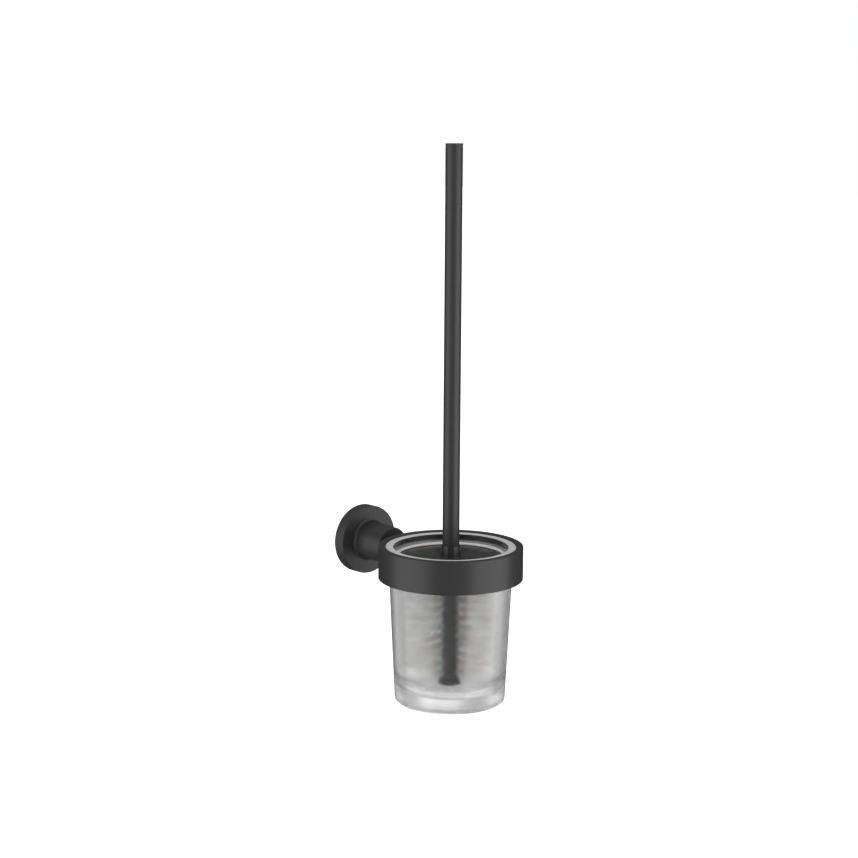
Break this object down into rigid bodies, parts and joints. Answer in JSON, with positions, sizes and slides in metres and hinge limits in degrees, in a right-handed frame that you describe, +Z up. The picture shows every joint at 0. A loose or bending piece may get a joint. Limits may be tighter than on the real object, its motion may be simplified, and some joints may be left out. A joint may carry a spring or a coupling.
{
  "type": "toilet brush holder",
  "caption": "Wall-mounted toilet brush holder: round rosette and post carry a ring with a tapered frosted glass, holding a lidded brush on a long round handle.",
  "frame": {"origin": "centre of the wall bracket's back face, on the wall", "axes": "+Y into the wall, so the holder reaches out along -Y; +Z up, along the handle"},
  "size_m": [0.112, 0.1646, 0.4289],
  "materials": {
    "black_paint": "satin, fine powder coat",
    "lid_black": "matt, fine powder coat",
    "bracket_zinc": "as-cast zinc alloy",
    "steel": "plain",
    "frosted_glass": "satin frosted",
    "clear_plastic": "translucent",
    "seal_plastic": "translucent, soft",
    "white_nylon": "smooth",
    "dark_plastic": "matt",
    "black_rubber": "smooth",
    "bristle_nylon": "nylon filament"
  },
  "bodies": {
    "holder": {"wall_bracket": "bracket_zinc", "rosette": "black_paint", "post": "black_paint", "post_set_screw": "steel", "ring_neck": "black_paint", "ring_bolt": "steel", "anti_rotation_pin": "steel", "holder_ring": "black_paint", "ring_inlay": "clear_plastic"},
    "glass": {"glass_tumbler": "frosted_glass"},
    "brush": {"handle_tube": "black_paint", "handle_top_cap": "black_paint", "handle_insert": "steel", "head_stud": "steel", "lid_washer": "steel", "head_o_ring": "black_rubber", "brush_core": "dark_plastic", "core_tip": "dark_plastic", "bristle_row_1": "bristle_nylon", "bristle_row_2": "bristle_nylon", "bristle_row_3": "bristle_nylon", "bristle_row_4": "bristle_nylon", "bristle_row_5": "bristle_nylon", "bristle_row_6": "bristle_nylon", "bristle_row_7": "bristle_nylon", "bristle_row_8": "bristle_nylon", "bristle_row_9": "bristle_nylon", "bristle_row_10": "bristle_nylon"},
    "lid_slider": {"lid_bush": "white_nylon"},
    "lid": {"lid_shell": "lid_black", "lid_seal": "seal_plastic"}
  },
  "joints": [
    {"name": "glass_lift", "type": "slide", "parent": "holder", "child": "glass", "axis": [0, 0, 1], "range_m": [0, 0.13]},
    {"name": "brush_lift", "type": "slide", "parent": "glass", "child": "brush", "axis": [0, 0, 1], "range_m": [0, 0.13]},
    {"name": "lid_slide", "type": "slide", "parent": "brush", "child": "lid_slider", "axis": [0, 0, 1], "range_m": [0, 0.29]},
    {"name": "lid_turn", "type": "hinge", "parent": "lid_slider", "child": "lid", "pos_m": [0, -0.1086, 0], "axis": [0, 0, 1], "continuous": true}
  ]
}
